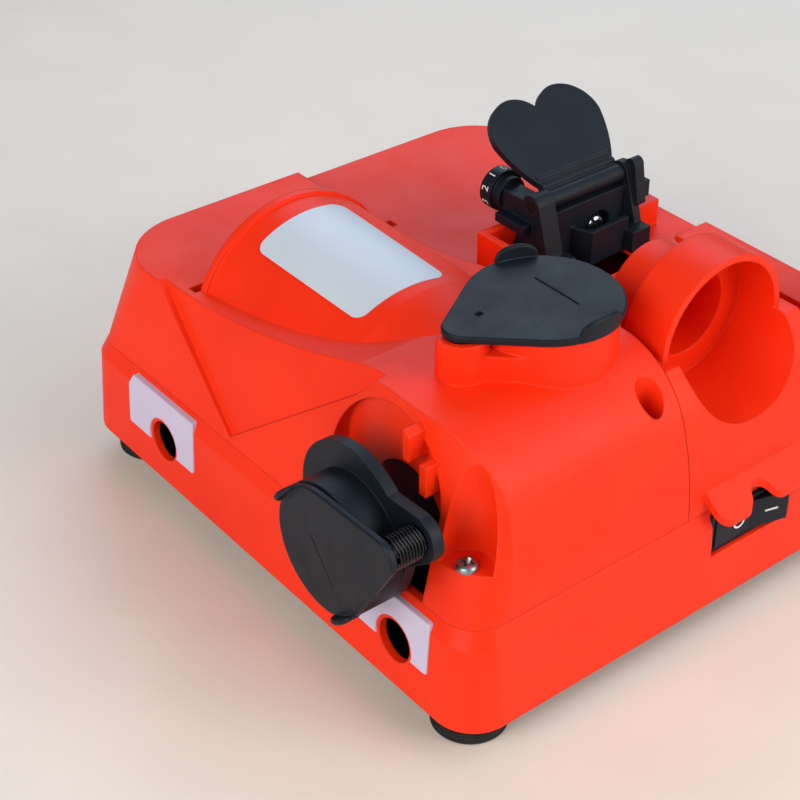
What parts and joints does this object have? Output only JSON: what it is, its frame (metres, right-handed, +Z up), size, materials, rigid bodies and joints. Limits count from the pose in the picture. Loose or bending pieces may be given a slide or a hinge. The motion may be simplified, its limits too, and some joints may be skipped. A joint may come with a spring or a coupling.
{
  "type": "bench tool sharpener",
  "caption": "Electric bench sharpener with a knife slot beside a domed hump, two lidded drill ports, a drill setting cup, a sliding chisel clamp and a rocker switch.",
  "frame": {"origin": "on the bench under the middle of the base", "axes": "+X to the right along the front, +Y to the back, +Z up"},
  "size_m": [0.234, 0.2268, 0.1331],
  "materials": {
    "red_shell": "satin",
    "black_plastic": "satin",
    "black_rubber": "matte",
    "steel": "satin",
    "bright_steel": "polished",
    "motor_grey": "satin",
    "alloy": "cast",
    "abrasive": "matte"
  },
  "bodies": {
    "housing": {"base_shell": "red_shell", "upper_housing": "red_shell", "right_rear_housing": "red_shell", "bottom_plate": "black_plastic", "front_port": "black_plastic", "switch_body": "black_plastic", "rubber_feet": "black_rubber", "cable_bush": "black_rubber", "drive_belt": "black_rubber", "foot_screws": "steel", "housing_screws": "steel", "base_screws": "steel", "top_lid_pin": "steel", "front_lid_pin": "steel", "front_lid_spring": "steel", "top_lid_spring": "steel", "motor_bearings": "steel", "motor": "motor_grey", "motor_stands": "alloy", "lay_pedestals": "alloy"},
    "top_lid_arm": {"top_lid": "black_plastic"},
    "front_lid_arm": {"front_lid": "black_plastic"},
    "carriage": {"chisel_carriage": "black_plastic", "clamp_pin": "steel", "clamp_screw": "bright_steel"},
    "clamp": {"chisel_clamp": "black_plastic"},
    "dial": {"feed_dial": "black_plastic"},
    "rocker": {"switch_rocker": "black_plastic"},
    "grinding_spindle": {"spindle": "steel", "knife_wheel": "abrasive", "drill_wheel": "abrasive", "drive_pulley": "black_plastic"},
    "chisel_spindle": {"lay_shaft": "steel", "chisel_wheel": "abrasive", "lay_pulley": "black_plastic"}
  },
  "joints": [
    {"name": "top_lid_swivel", "type": "hinge", "parent": "housing", "child": "top_lid_arm", "pos_m": [0.061, -0.0605, 0.1218], "axis": [0, 0, 1], "range_deg": [0, 95], "stiffness_Nm_per_rad": 0.02},
    {"name": "front_lid_swivel", "type": "hinge", "parent": "housing", "child": "front_lid_arm", "pos_m": [0.0935, -0.1163, 0.0835], "axis": [0, 1, 0], "range_deg": [0, 90], "stiffness_Nm_per_rad": 0.02, "springref_deg": -17.19},
    {"name": "carriage_slide", "type": "slide", "parent": "housing", "child": "carriage", "axis": [0, 1, 0], "range_m": [-0.011, 0.0005]},
    {"name": "clamp_hinge", "type": "hinge", "parent": "carriage", "child": "clamp", "pos_m": [-0.004, 0.0524, 0.1074], "axis": [0, 1, 0], "range_deg": [-12, 75]},
    {"name": "dial_turn", "type": "hinge", "parent": "carriage", "child": "dial", "pos_m": [-0.0195, 0.0312, 0.1047], "axis": [1, 0, 0], "range_deg": [0, 270]},
    {"name": "rocker_tilt", "type": "hinge", "parent": "housing", "child": "rocker", "pos_m": [0.1075, 0.025, 0.04025], "axis": [0, 0, 1], "range_deg": [0, 13.5]},
    {"name": "spindle_spin", "type": "hinge", "parent": "housing", "child": "grinding_spindle", "pos_m": [0, -0.042, 0.071], "axis": [1, 0, 0], "continuous": true},
    {"name": "lay_shaft_spin", "type": "hinge", "parent": "housing", "child": "chisel_spindle", "pos_m": [0.02, 0.05, 0.052], "axis": [1, 0, 0], "continuous": true}
  ],
  "couplings": [
    {"joint": "lay_shaft_spin", "follows": "spindle_spin", "ratio": 0.6}
  ]
}
